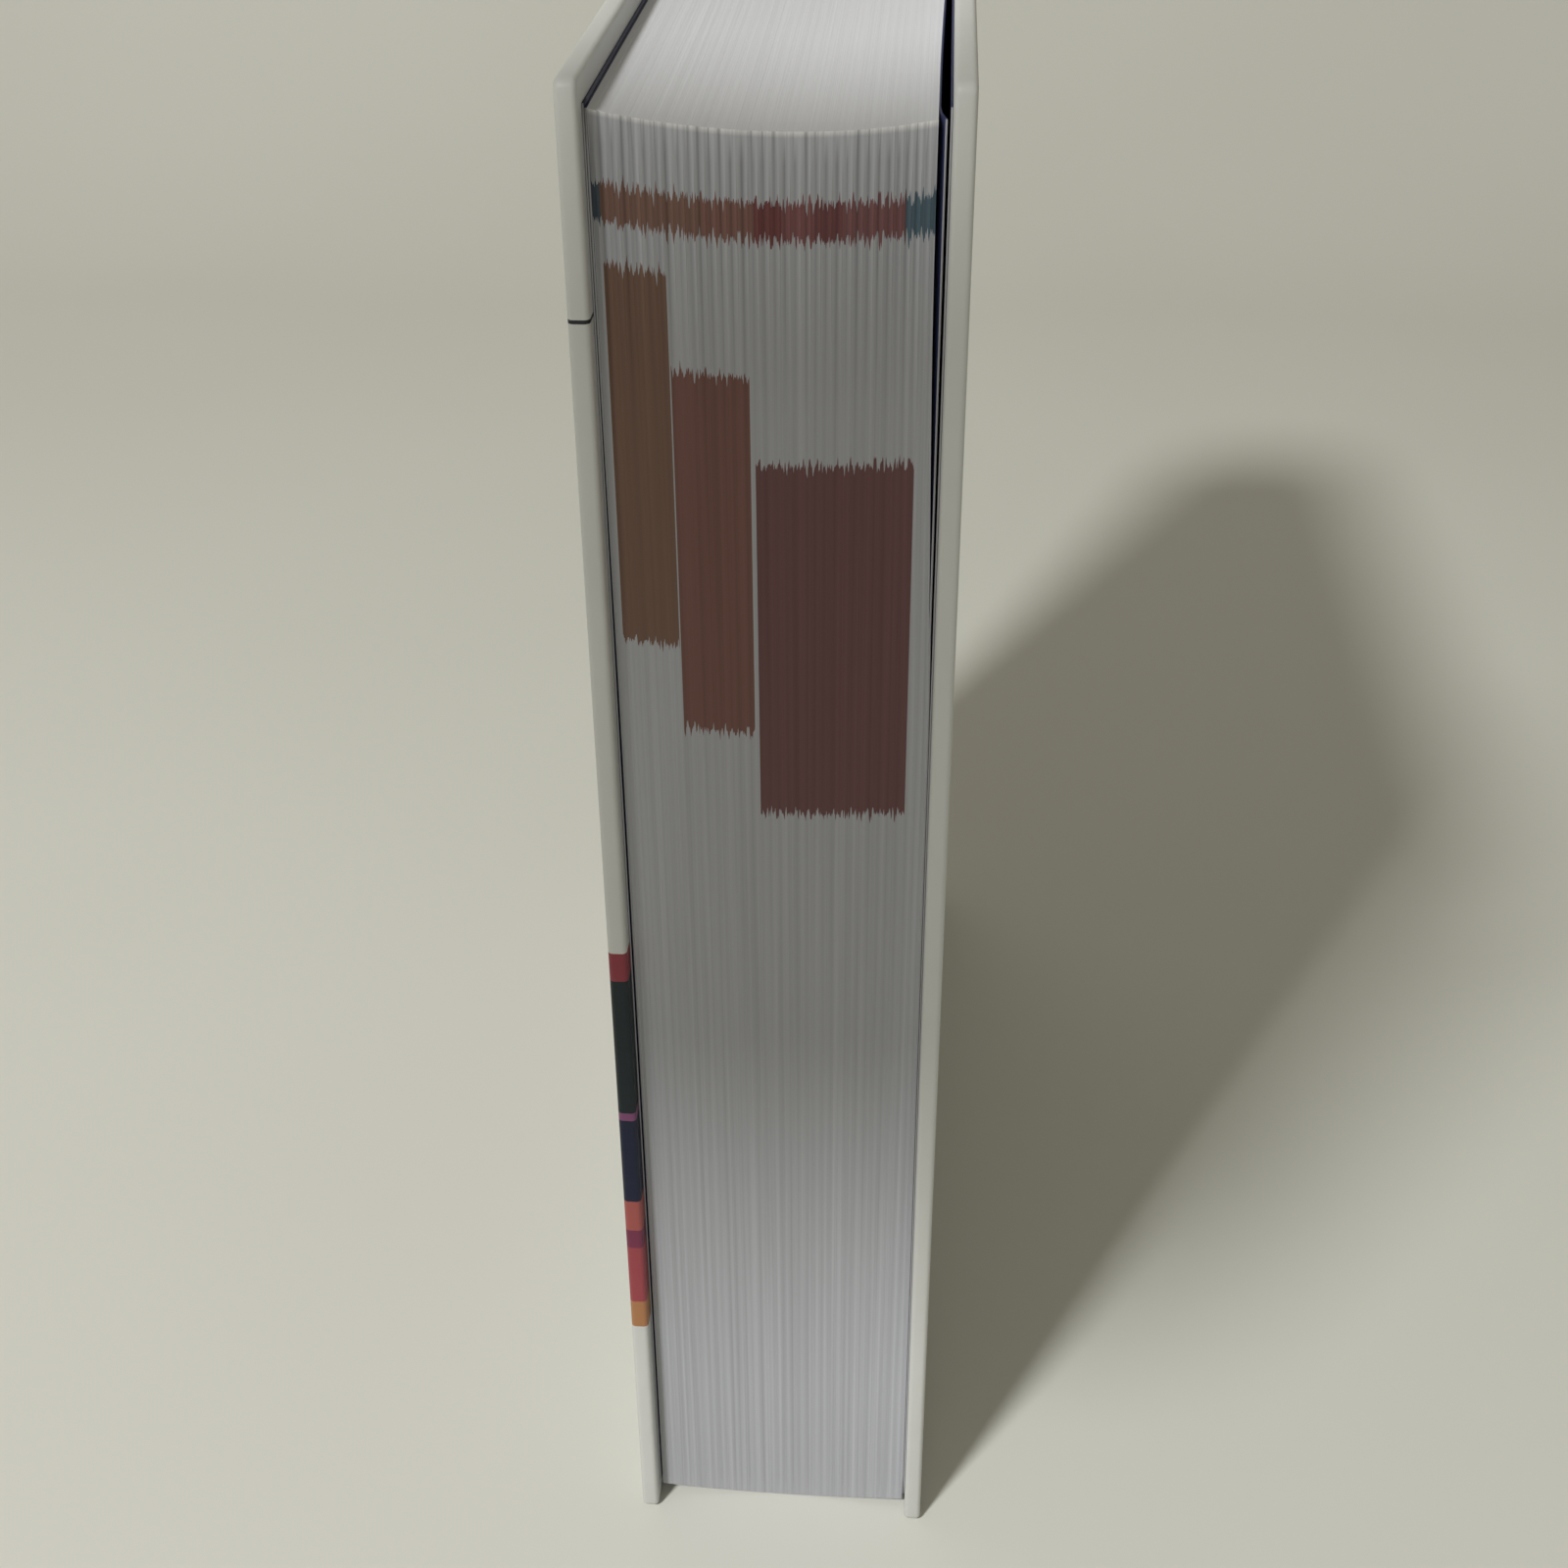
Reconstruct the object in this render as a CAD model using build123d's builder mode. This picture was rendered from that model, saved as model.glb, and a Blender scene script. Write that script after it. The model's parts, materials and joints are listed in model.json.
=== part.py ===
"""Hardcover textbook that stands on its tail.

A page block with a rounded, backed spine hangs in a case of two boards and a
curved spine strip. Each cover turns about an upright line in its joint groove.
X is the thickness with the front cover at -X, Y runs from the fore edge to the
spine, Z is up. The origin is the middle of the base.
"""

from build123d import *
from math import asin, degrees, radians, sqrt, tan
import os

# Page block, in millimetres
page_height = 274.0
page_width = 216.0
bulk = 47.7
fore_edge_hollow = 1.5
spine_bulge = 5.0
shoulder_flare = 1.8
shoulder_angle = 45.0

# How far the pages have slumped at the fore edge, and the depth that the spine still holds level
sag_front = 0.4
sag_middle = 3.8
sag_back = 1.4
level_depth = 12.0

# How far the case stands out past the pages
square_fore = 3.5
square_ends = 4.0

# Sheet and card thicknesses
endpaper = 0.3
case_paper = 0.25
board_thickness = 2.7
mull = 0.25
lining = 0.2
inlay = 0.6

# Case making
board_corner_radius = 1.5
board_edge_radius = 0.6
turn_in = 15.0
mull_flange = 25.0
mull_short = 18.0

# Joint groove, measured from the hinge line in its middle
board_to_hinge = 4.0
hinge_to_shoulder = 1.5
crease_gap = 0.3
leaf_gap = 0.3
ridge_clearance = 0.3
ridge_radius = 0.8
hollow_back = 0.55

# Headbands
band_radius = 1.0
band_tape = 0.25
band_tape_length = 12.0
band_end = 1.2

# Distances outward from the middle of the book, for the back half
glue_layer = max(case_paper, mull)
u_block = bulk / 2
u_leaf = u_block + endpaper
u_paste = u_leaf + leaf_gap
u_glue = u_paste + endpaper
u_board = u_glue + glue_layer
u_board_out = u_board + board_thickness
u_case = u_board_out + case_paper
joint_stack = u_board - u_block
u_ridge = u_case - ridge_clearance - case_paper

# Places along the depth, with the book's middle at zero
spine_layer = max(mull, band_tape)
inlay_height = spine_layer + lining + hollow_back
spine_stack = inlay_height + inlay + case_paper
depth = square_fore + page_width + spine_bulge + spine_stack
y_case = -depth / 2
y_board = y_case + case_paper
y_pages = y_case + square_fore
y_ridge = y_pages + page_width
y_shoulder = y_ridge - shoulder_flare / tan(radians(shoulder_angle))
y_hinge = y_shoulder - hinge_to_shoulder
y_board_end = y_hinge - board_to_hinge
y_cover_crease = y_hinge - crease_gap / 2
y_spine_crease = y_hinge + crease_gap / 2

# Heights
case_height = page_height + 2 * square_ends
z_tail = square_ends
z_head = square_ends + page_height

# Round of the block's spine
half_chord = u_block + shoulder_flare
spine_radius = (half_chord**2 + spine_bulge**2) / (2 * spine_bulge)
y_spine_centre = y_ridge + spine_bulge - spine_radius


def shoulder_corner(out):
    """Where a sheet that lies `out` off the block's side starts to climb the shoulder."""
    return (u_block + out, y_shoulder - out * tan(radians(shoulder_angle / 2)))


def on_spine(x, out):
    """Point at x on the curve that lies `out` off the block's spine."""
    return (x, y_spine_centre + sqrt((spine_radius + out) ** 2 - x**2))


def shoulder_top(side_out, spine_out):
    """Where the climb that lies `side_out` off the side meets the curve `spine_out` off the spine."""
    start = Vector(*shoulder_corner(side_out))
    climb = Vector(0, 1).rotate(Axis.Z, -shoulder_angle)
    from_centre = start - Vector(0, y_spine_centre)
    along = from_centre.dot(climb)
    reach = along**2 - from_centre.dot(from_centre) + (spine_radius + spine_out) ** 2
    top = start + climb * (sqrt(reach) - along)
    return (top.X, top.Y)


def mirrored(points):
    """The same points on the front half, in reverse order."""
    return [(-x, y) for x, y in reversed(points)]


def spine_section(side, spine_out):
    """Closed section behind the points of `side`, which end on the curve `spine_out` off the spine."""
    with BuildSketch(mode=Mode.PRIVATE) as section:
        with BuildLine():
            Polyline(*side)
            ThreePointArc(side[-1], on_spine(0, spine_out), (-side[-1][0], side[-1][1]))
            Polyline(*mirrored(side))
            Line((-side[0][0], side[0][1]), side[0])
        make_face()
    return section.sketch


def case_section(grow):
    """Section of all that the case paper's spine strip wraps, grown outward by `grow`."""
    reach = u_ridge + grow
    foot = shoulder_corner(joint_stack + grow)
    nose_y = foot[1] + (reach - foot[0]) / tan(radians(shoulder_angle))
    side = [(foot[0], y_spine_crease), foot, (reach, nose_y), on_spine(reach, inlay_height + inlay + grow)]
    with BuildSketch(mode=Mode.PRIVATE) as section:
        add(spine_section(side, inlay_height + inlay + grow))
        noses = [v for v in section.vertices() if abs(abs(v.X) - reach) < 1e-4]
        fillet(noses, ridge_radius + grow)
    return section.sketch


def core_section():
    """Section inside the case paper's turn-ins at head and tail of the spine."""
    out = joint_stack - case_paper
    spine_out = inlay_height - case_paper
    corner = shoulder_corner(out)
    side = [(corner[0], y_spine_crease), corner, shoulder_top(out, spine_out)]
    return spine_section(side, spine_out)


def endpaper_section():
    """The free leaf along the block's side, with its fold at the ridge and a stub to the crease."""
    leaf_in = [(u_block, y_pages), shoulder_corner(0), shoulder_top(0, 0)]
    leaf_out = [shoulder_top(endpaper, 0), shoulder_corner(endpaper), (u_leaf, y_pages)]
    stub_off = endpaper + leaf_gap
    stub_in = [(u_paste, y_spine_crease), shoulder_corner(stub_off), shoulder_top(stub_off, 0)]
    stub_far = stub_off + endpaper
    stub_out = [shoulder_top(stub_far, 0), shoulder_corner(stub_far), (u_glue, y_spine_crease)]
    fold = [shoulder_top(0, 0), shoulder_top(0, -endpaper), shoulder_top(stub_far, -endpaper)]
    with BuildSketch(mode=Mode.PRIVATE) as section:
        for outline in (leaf_in + leaf_out, stub_in + stub_out, fold + [shoulder_top(stub_far, 0)]):
            with BuildLine():
                Polyline(*outline, close=True)
            make_face()
    return section.sketch


# Space that the slumped pages fill: square at the spine, dipped at the fore edge
y_level = y_shoulder - level_depth
with BuildPart() as page_space:
    with BuildSketch(Plane.XZ.offset(-y_level)):
        with Locations((0, z_tail + page_height / 2)):
            Rectangle(2 * u_glue, page_height)
    with BuildSketch(Plane.XZ.offset(-y_pages)):
        with BuildLine():
            head = ThreePointArc(
                (-u_glue, z_head - sag_front), (0, z_head - sag_middle), (u_glue, z_head - sag_back)
            )
            tail = ThreePointArc(
                (-u_glue, z_tail - sag_front), (0, z_tail - sag_middle), (u_glue, z_tail - sag_back)
            )
            Line(head @ 0, tail @ 0)
            Line(head @ 1, tail @ 1)
        make_face()
    loft(ruled=True)
    with BuildSketch(Plane.XZ.offset(-y_ridge - spine_bulge)):
        with Locations((0, z_tail + page_height / 2)):
            Rectangle(2 * u_case, page_height)
    extrude(amount=y_ridge + spine_bulge - y_level)

# Pages, all in one: hollow fore edge, flared shoulders and rounded spine
with BuildPart() as text_block:
    with BuildSketch():
        with BuildLine():
            ThreePointArc((-u_block, y_pages), (0, y_pages + fore_edge_hollow), (u_block, y_pages))
            Polyline((u_block, y_pages), (u_block, y_shoulder), (half_chord, y_ridge))
            ThreePointArc((half_chord, y_ridge), on_spine(0, 0), (-half_chord, y_ridge))
            Polyline((-half_chord, y_ridge), (-u_block, y_shoulder), (-u_block, y_pages))
        make_face()
    extrude(amount=case_height)
    add(page_space.part, mode=Mode.INTERSECT)

# Free endpaper at the back, then its mirror at the front
with BuildPart() as back_flyleaf:
    with BuildSketch():
        add(endpaper_section())
    extrude(amount=case_height)
    add(page_space.part, mode=Mode.INTERSECT)

with BuildPart() as front_flyleaf:
    with BuildSketch():
        mirror(endpaper_section(), about=Plane.YZ)
    extrude(amount=case_height)
    add(page_space.part, mode=Mode.INTERSECT)

# Cloth mull glued round the spine, with flanges down both shoulders to the creases
with BuildPart() as spine_mull:
    inner = joint_stack - mull
    outer_side = [(u_board, y_spine_crease), shoulder_corner(joint_stack), shoulder_top(joint_stack, mull)]
    inner_side = [(u_board - mull, y_spine_crease), shoulder_corner(inner), shoulder_top(inner, 0)]
    with BuildSketch(Plane.XY.offset(mull_short)):
        add(spine_section(outer_side, mull))
        add(spine_section(inner_side, 0), mode=Mode.SUBTRACT)
    extrude(amount=case_height - 2 * mull_short)

# Strong paper over the mull and the headband tapes
with BuildPart() as spine_lining:
    with BuildSketch(Plane.XY.offset(z_tail)):
        for out, how in ((spine_layer + lining, Mode.ADD), (spine_layer, Mode.SUBTRACT)):
            with BuildLine():
                arc = ThreePointArc(on_spine(-u_block, out), on_spine(0, out), on_spine(u_block, out))
                Polyline(arc @ 1, (u_block, y_shoulder), (-u_block, y_shoulder), arc @ 0)
            make_face(mode=how)
    extrude(amount=page_height)

# Headbands: a round bead over the end of the spine, on a tape glued down its back
band_reach = half_chord - band_end
spine_axis = Axis((0, y_spine_centre, 0), (0, 0, 1))


def headband(z_end, up):
    """Bead and tape on the block's end at z_end, where `up` is 1 at the head and -1 at the tail."""
    outward = Vector(*on_spine(band_reach, 0)) - Vector(0, y_spine_centre)
    section_plane = Plane((0, y_spine_centre, z_end), x_dir=outward, z_dir=outward.cross(Vector(0, 0, 1)))
    with BuildPart(mode=Mode.PRIVATE) as band:
        with BuildSketch(section_plane):
            with Locations((spine_radius + band_tape - band_radius, up * band_radius)):
                Circle(band_radius)
            with Locations((spine_radius + band_tape / 2, up * (band_radius - band_tape_length) / 2)):
                Rectangle(band_tape, band_radius + band_tape_length)
        revolve(axis=spine_axis, revolution_arc=2 * degrees(asin(band_reach / spine_radius)))
    return band.part


with BuildPart() as headband_part:
    add(headband(z_head, 1))

with BuildPart() as tailband_part:
    add(headband(z_tail, -1))

# Curved card strip that keeps the spine's shape
with BuildPart() as spine_inlay:
    with BuildSketch(Plane.XY.offset(case_paper)):
        for out, how in ((inlay_height + inlay, Mode.ADD), (inlay_height, Mode.SUBTRACT)):
            with BuildLine():
                arc = ThreePointArc(on_spine(-u_ridge, out), on_spine(0, out), on_spine(u_ridge, out))
                Polyline(arc @ 1, (u_ridge, y_shoulder), (-u_ridge, y_shoulder), arc @ 0)
            make_face(mode=how)
        add(case_section(0), mode=Mode.INTERSECT)
    extrude(amount=case_height - 2 * case_paper)

# Covering paper of the spine, turned in at head and tail
with BuildPart() as spine_case_paper:
    with BuildSketch():
        add(case_section(case_paper))
        add(case_section(0), mode=Mode.SUBTRACT)
    extrude(amount=case_height)
    with BuildSketch(Plane.XY, Plane.XY.offset(case_height - turn_in)):
        add(case_section(case_paper))
        add(core_section(), mode=Mode.SUBTRACT)
    extrude(amount=turn_in)
    add(spine_inlay.part, mode=Mode.SUBTRACT)


def cover_slab(grow, y_end, u_in, u_out):
    """Board-shaped slab, `grow` larger than the board on its free sides, with rounded edges."""
    edge_radius = board_edge_radius + grow
    height = case_height - 2 * case_paper + 2 * grow
    y_start = y_board - grow
    with BuildPart(mode=Mode.PRIVATE) as slab:
        with BuildSketch(Plane.YZ.offset(u_in)) as outline:
            with Locations(((y_start + y_end) / 2, case_height / 2)):
                Rectangle(y_end - y_start, height)
            fillet(outline.vertices().group_by(Axis.X)[0], board_corner_radius + grow)
        extrude(amount=u_out - u_in)
        outer_edges = slab.faces().sort_by(Axis.X)[-1].edges()
        inner_edges = slab.faces().sort_by(Axis.X)[0].edges().sort_by(Axis.Y)[:-1]
        fillet(outer_edges + inner_edges, edge_radius)
    return slab.part


# Back board, cut from greyboard
with BuildPart() as back_board:
    add(cover_slab(0, y_board_end, u_board, u_board_out))

# Covering paper of the back cover: over the board, turned in on three sides and down into the groove
turn_window = (y_case + turn_in, turn_in, case_height - turn_in)
with BuildPart() as back_case_paper:
    add(cover_slab(case_paper, y_board_end + case_paper, u_board - case_paper, u_case))
    with BuildSketch(Plane.XY):
        with BuildLine():
            Polyline(
                (u_board, y_board_end),
                (u_board + case_paper, y_board_end),
                (u_board + case_paper, y_cover_crease),
                (u_board, y_cover_crease),
                close=True,
            )
        make_face()
    extrude(amount=case_height)
    with BuildSketch(Plane.YZ.offset(u_board - case_paper)):
        for z_middle in (turn_in / 2, case_height - turn_in / 2):
            with Locations(((y_board_end + y_cover_crease) / 2, z_middle)):
                Rectangle(y_cover_crease - y_board_end, turn_in)
    extrude(amount=case_paper)
    with BuildSketch(Plane.YZ.offset(u_board - case_paper)):
        with Locations(((turn_window[0] + y_cover_crease) / 2, case_height / 2)):
            Rectangle(y_cover_crease - turn_window[0], case_height - 2 * turn_in)
    extrude(amount=case_paper, mode=Mode.SUBTRACT)
    add(back_board.part, mode=Mode.SUBTRACT)

# Mull flange glued to the inner face of the back board
with BuildPart() as back_mull_flange:
    with BuildSketch(Plane.YZ.offset(u_board - mull)):
        with Locations((y_cover_crease - mull_flange / 2, case_height / 2)):
            Rectangle(mull_flange, case_height - 2 * mull_short)
    extrude(amount=mull)

# Pastedown: its rim lies on the turn-ins and the mull, its middle sinks to the board
window_start = y_case + turn_in
window_end = y_cover_crease - mull_flange
with BuildPart() as back_pastedown:
    window = Locations(((window_start + window_end) / 2, case_height / 2))
    window_size = (window_end - window_start, case_height - 2 * turn_in)
    with BuildSketch(Plane.YZ.offset(u_paste)):
        with Locations(((y_pages + y_cover_crease) / 2, case_height / 2)):
            Rectangle(y_cover_crease - y_pages, page_height)
        with window:
            Rectangle(*window_size, mode=Mode.SUBTRACT)
    extrude(amount=endpaper)
    with BuildSketch(Plane.YZ.offset(u_paste)):
        with window:
            Rectangle(*window_size)
            Rectangle(window_size[0] - 2 * endpaper, window_size[1] - 2 * endpaper, mode=Mode.SUBTRACT)
    extrude(amount=u_board - u_paste)
    with BuildSketch(Plane.YZ.offset(u_board - endpaper)):
        with window:
            Rectangle(*window_size)
    extrude(amount=endpaper)

pieces = {
    "text_block": text_block,
    "front_flyleaf": front_flyleaf,
    "back_flyleaf": back_flyleaf,
    "spine_mull": spine_mull,
    "spine_lining": spine_lining,
    "headband": headband_part,
    "tailband": tailband_part,
    "spine_inlay": spine_inlay,
    "spine_case_paper": spine_case_paper,
    "back_board": back_board,
    "back_case_paper": back_case_paper,
    "back_mull_flange": back_mull_flange,
    "back_pastedown": back_pastedown,
}

# The front cover is the mirror of the back cover
for piece in ("board", "case_paper", "mull_flange", "pastedown"):
    with BuildPart() as front_piece:
        mirror(pieces["back_" + piece].part, about=Plane.YZ)
    pieces["front_" + piece] = front_piece

os.makedirs("parts", exist_ok=True)
for label, piece in pieces.items():
    piece.part.label = label
    export_step(piece.part, "parts/" + label + ".step")
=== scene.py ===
"""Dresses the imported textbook: pages, endpapers, printed covers, spine, headbands and a plain stage."""

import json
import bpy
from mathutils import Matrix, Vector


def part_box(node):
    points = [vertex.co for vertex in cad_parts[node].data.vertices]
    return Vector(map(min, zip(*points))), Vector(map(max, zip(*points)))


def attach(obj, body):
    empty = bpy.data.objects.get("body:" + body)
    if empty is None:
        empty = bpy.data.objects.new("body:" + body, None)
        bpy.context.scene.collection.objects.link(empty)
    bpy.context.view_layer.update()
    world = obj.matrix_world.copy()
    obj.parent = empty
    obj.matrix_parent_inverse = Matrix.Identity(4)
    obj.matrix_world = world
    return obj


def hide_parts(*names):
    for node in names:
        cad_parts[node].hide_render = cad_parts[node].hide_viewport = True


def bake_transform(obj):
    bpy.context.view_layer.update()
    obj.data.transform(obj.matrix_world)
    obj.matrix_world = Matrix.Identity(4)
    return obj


bl_info = {
    "name": "Hardcover Textbook",
    "version": (1, 0, 0),
    "blender": (4, 5, 0),
    "location": "View3D > Sidebar > Textbook",
    "description": "Makes the visible surfaces and finishes of a case-bound textbook",
    "category": "Object",
}

import bmesh
import bpy
import numpy as np
from bpy.props import FloatProperty, FloatVectorProperty, IntProperty, PointerProperty
from mathutils import Matrix, Vector

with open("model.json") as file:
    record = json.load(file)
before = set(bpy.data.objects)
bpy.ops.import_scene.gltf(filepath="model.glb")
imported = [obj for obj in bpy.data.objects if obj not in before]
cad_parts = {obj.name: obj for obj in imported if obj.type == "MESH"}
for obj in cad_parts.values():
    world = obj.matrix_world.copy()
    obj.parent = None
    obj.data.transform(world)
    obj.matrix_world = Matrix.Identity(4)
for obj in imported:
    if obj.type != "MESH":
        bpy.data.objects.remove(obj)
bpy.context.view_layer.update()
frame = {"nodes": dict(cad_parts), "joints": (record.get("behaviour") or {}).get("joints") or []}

MM = 0.001

# Places taken from the frame, in metres. Distances named "out" run from the book's middle plane.
leaf_low, leaf_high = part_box("back_flyleaf")
block_low, block_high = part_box("text_block")
board_low, board_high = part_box("back_board")
case_low, case_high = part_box("back_case_paper")
paste_low, paste_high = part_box("back_pastedown")
flange_low, flange_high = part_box("back_mull_flange")
strip_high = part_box("spine_case_paper")[1]
card_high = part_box("spine_inlay")[1]
HINGE_Y = frame["joints"][0]["pos_m"][1]

BLOCK_OUT = leaf_low.x
RIDGE_OUT = block_high.x
BOARD_OUT = board_low.x
PAPER = case_high.x - board_high.x
ENDPAPER = 0.3 * MM
FORE_Y = block_low.y
RIDGE_Y = leaf_high.y
SPINE_Y = block_high.y
SHOULDER_Y = RIDGE_Y - (RIDGE_OUT - BLOCK_OUT)
TAIL_Z = paste_low.z
HEAD_Z = paste_high.z
CASE_HEIGHT = case_high.z
SPINE_BULGE = SPINE_Y - RIDGE_Y
SPINE_RADIUS = (RIDGE_OUT**2 + SPINE_BULGE**2) / (2 * SPINE_BULGE)
SPINE_CENTRE_Y = SPINE_Y - SPINE_RADIUS

# The pages' slump at the fore edge and the fore edge's hollow, as in the solid
SAG_FRONT = 0.4 * MM
SAG_MIDDLE = 3.8 * MM
SAG_BACK = 1.4 * MM
LEVEL_Y = SHOULDER_Y - 12.0 * MM
FORE_HOLLOW = 1.5 * MM
TURN_IN = 15.0 * MM
EDGE_ROUND = 0.85 * MM
CORNER_ROUND = 1.75 * MM
CREASE = 0.15 * MM
SIDES = {"front": -1.0, "back": 1.0}

# Kinds of shader node, and the settings of a node that mixes colours
MARK = "ShaderNodeAttribute"
AXES = "ShaderNodeSeparateXYZ"
STRETCH = "ShaderNodeVectorMath"
NOISE = "ShaderNodeTexNoise"
RANGE = "ShaderNodeMapRange"
MATH = "ShaderNodeMath"
MIX = "ShaderNodeMix"
BUMP = "ShaderNodeBump"
COLOURS = {"output": 2, "data_type": "RGBA"}


def linear(hex_colour):
    """sRGB hex text to linear RGBA."""
    value = np.array([int(hex_colour[i : i + 2], 16) for i in (0, 2, 4)]) / 255.0
    value = np.where(value <= 0.04045, value / 12.92, ((value + 0.055) / 1.055) ** 2.4)
    return (*value.tolist(), 1.0)


def colour(name, hex_colour, description):
    """A colour property whose default is an sRGB hex value."""
    return FloatVectorProperty(
        name=name, description=description, subtype="COLOR", size=4, min=0, max=1, default=linear(hex_colour)
    )


def smooth(value, low, high):
    """Smoothstep of value from 0 at low to 1 at high."""
    t = np.clip((value - low) / (high - low), 0.0, 1.0)
    return t * t * (3.0 - 2.0 * t)


def page_sag(x, y):
    """How far the pages have slumped: a parabola through three depths across x, which grows
    towards the fore edge."""
    across = x / case_low.x
    tilt = (SAG_BACK - SAG_FRONT) / 2
    bend = SAG_MIDDLE - (SAG_FRONT + SAG_BACK) / 2
    depth = SAG_MIDDLE + tilt * across - bend * across**2
    return depth * np.clip((LEVEL_Y - y) / (LEVEL_Y - FORE_Y), 0.0, 1.0)


def points(x, y, z):
    """One grid of points from arrays of x, y and z that spread over each other."""
    return np.stack(np.broadcast_arrays(x, y, z), -1)


def quads(rows, columns, start=0):
    """Vertex indices of the faces of a rows by columns grid of vertices that starts at `start`."""
    index = start + np.arange(rows * columns).reshape(rows, columns)
    return np.stack([index[:-1, :-1], index[:-1, 1:], index[1:, 1:], index[1:, :-1]], -1).reshape(-1, 4)


def surface(name, grids, material, sharp=40.0, thickness=0.0, offset=-1.0, marks=None):
    """One piece from point grids of shape (rows, columns, 3), joined where their edges meet.
    A thickness turns it into a sheet, which lies inside the surface at offset -1 and astride it
    at 0. Marks are named values for every point."""
    places, faces = [], []
    for grid in grids:
        start = sum(len(part) for part in places)
        faces.append(quads(*grid.shape[:2], start))
        places.append(grid.reshape(-1, 3))
    mesh = bpy.data.meshes.new(name)
    mesh.from_pydata(np.concatenate(places).tolist(), [], np.concatenate(faces).tolist())
    for mark, values in (marks or {}).items():
        layer = mesh.attributes.new(mark, "FLOAT", "POINT")
        layer.data.foreach_set("value", values.astype(np.float32))
    shape = bmesh.new()
    shape.from_mesh(mesh)
    bmesh.ops.remove_doubles(shape, verts=shape.verts, dist=0.004 * MM)
    bmesh.ops.dissolve_degenerate(shape, edges=shape.edges, dist=0.001 * MM)
    bmesh.ops.recalc_face_normals(shape, faces=shape.faces)
    shape.to_mesh(mesh)
    shape.free()
    mesh.shade_smooth()
    mesh.set_sharp_from_angle(angle=np.radians(sharp))
    rest = np.empty(len(mesh.vertices) * 3, np.float32)
    mesh.vertices.foreach_get("co", rest)
    mesh.attributes.new("rest", "FLOAT_VECTOR", "POINT").data.foreach_set("vector", rest)
    mesh.materials.append(material)
    piece = bpy.data.objects.new(name, mesh)
    bpy.context.scene.collection.objects.link(piece)
    if thickness:
        solid = piece.modifiers.new("paper", "SOLIDIFY")
        solid.thickness = thickness
        solid.offset = offset
    return piece


def face_outward(piece, away_from):
    """Turns every face of an open sheet so that most of it faces away from a point."""
    mesh = piece.data
    centres = np.empty(len(mesh.polygons) * 3)
    normals = np.empty(len(mesh.polygons) * 3)
    mesh.polygons.foreach_get("center", centres)
    mesh.polygons.foreach_get("normal", normals)
    outward = (centres.reshape(-1, 3) - np.array(away_from)) * normals.reshape(-1, 3)
    if outward.sum() < 0:
        mesh.flip_normals()


def dress(piece, node, body=None):
    """Hides the solid that the piece stands for, and rides the piece on a body when one is given."""
    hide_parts(node)
    if body:
        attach(piece, body)


def new_material(name):
    """An empty node material with its Principled shader and output."""
    material = bpy.data.materials.new(name)
    material.use_nodes = True
    tree = material.node_tree
    tree.nodes.clear()
    shader = tree.nodes.new("ShaderNodeBsdfPrincipled")
    output = tree.nodes.new("ShaderNodeOutputMaterial")
    tree.links.new(shader.outputs["BSDF"], output.inputs["Surface"])
    return material, tree, shader


def add(tree, kind, inputs=None, output=0, **settings):
    """Adds a node with its settings, sets or links its inputs, and returns one of its outputs."""
    node = tree.nodes.new(kind)
    for key, value in settings.items():
        setattr(node, key, value)
    for key, value in (inputs or {}).items():
        if isinstance(value, bpy.types.NodeSocket):
            tree.links.new(value, node.inputs[key])
        else:
            node.inputs[key].default_value = value
    return node.outputs[output]


def finish_shader(tree, shader, shown, roughness, bump):
    """Gives a shader its colour, its roughness and its bump."""
    tree.links.new(shown, shader.inputs["Base Color"])
    tree.links.new(bump, shader.inputs["Normal"])
    shader.inputs["Roughness"].default_value = roughness


def toned(rgba, share):
    """A darker tone of a linear colour."""
    return (*(channel * share for channel in rgba[:3]), 1.0)


def between(tree, value, low, high):
    """1 where value lies between low and high, else 0."""
    above = add(tree, MATH, {0: value, 1: low}, operation="GREATER_THAN")
    below = add(tree, MATH, {0: value, 1: high}, operation="LESS_THAN")
    return add(tree, MATH, {0: above, 1: below}, operation="MULTIPLY")


class PageSettings(bpy.types.PropertyGroup):
    """Sizes and colours of the page block"""

    signatures: IntProperty(name="Signatures", description="Folded sections in the block", default=33, min=8)
    groove: FloatProperty(
        name="Section groove", description="Depth between sections", default=0.10 * MM, unit="LENGTH"
    )
    uneven: FloatProperty(
        name="Unevenness", description="How far sections stand proud", default=0.05 * MM, unit="LENGTH"
    )
    gap: FloatProperty(
        name="Head gap",
        description="How far the last pages lie off the back cover at the head",
        default=1.0 * MM,
        unit="LENGTH",
    )
    press: FloatProperty(
        name="Press", description="How far they lean towards it lower down", default=0.24 * MM, unit="LENGTH"
    )
    paper: colour("Paper", "D7D9DE", "Uncoated text paper as the clean-cut head shows it")
    # The fore edge's colour is greyer than the paper partly as painted shade on the fore edge.
    edge: colour("Fore edge", "B8BAC1", "The leaves' edges seen end on, greyer at the fore edge")


class CoverSettings(bpy.types.PropertyGroup):
    """Colours of the covering paper and the endpapers, and the places of the print"""

    white: colour("White", "CCCECC", "Laminated white stock")
    endpaper: colour("Endpaper", "232B54", "Navy endpaper")
    rule_height: FloatProperty(
        name="Rule", description="Height of the thin rule", default=248.9 * MM, unit="LENGTH"
    )
    band_low: FloatProperty(
        name="Band foot", description="Lower edge of the band", default=51.7 * MM, unit="LENGTH"
    )
    band_high: FloatProperty(
        name="Band top", description="Upper edge of the band", default=139.4 * MM, unit="LENGTH"
    )


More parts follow.
